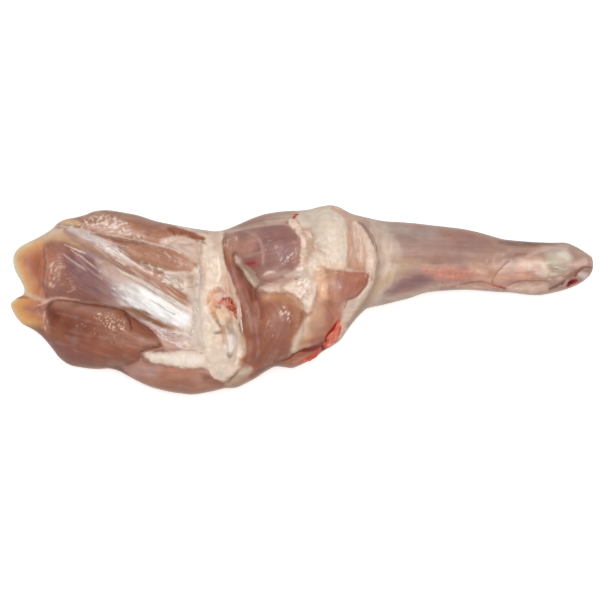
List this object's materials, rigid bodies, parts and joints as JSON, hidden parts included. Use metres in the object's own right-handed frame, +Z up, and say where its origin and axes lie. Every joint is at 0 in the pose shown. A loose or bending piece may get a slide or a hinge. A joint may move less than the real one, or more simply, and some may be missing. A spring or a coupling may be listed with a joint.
{
  "type": "suckling lamb shoulder",
  "caption": "Raw suckling lamb shoulder on the bone, blade to shank, lying flat with its inner side and muscles up; a whole meat cut for a kitchen, butcher or table.",
  "frame": {"origin": "middle of the footprint, on the surface the shoulder lies on", "axes": "+X from the blade end to the shank's knuckle, +Z up from the outer side it lies on to the inner side that shows, +Y towards the front edge of the shoulder"},
  "size_m": [0.3604, 0.116, 0.0546],
  "materials": {
    "raw_lamb": null
  },
  "bodies": {
    "root": {"lamb_shoulder": "raw_lamb"}
  },
  "joints": []
}
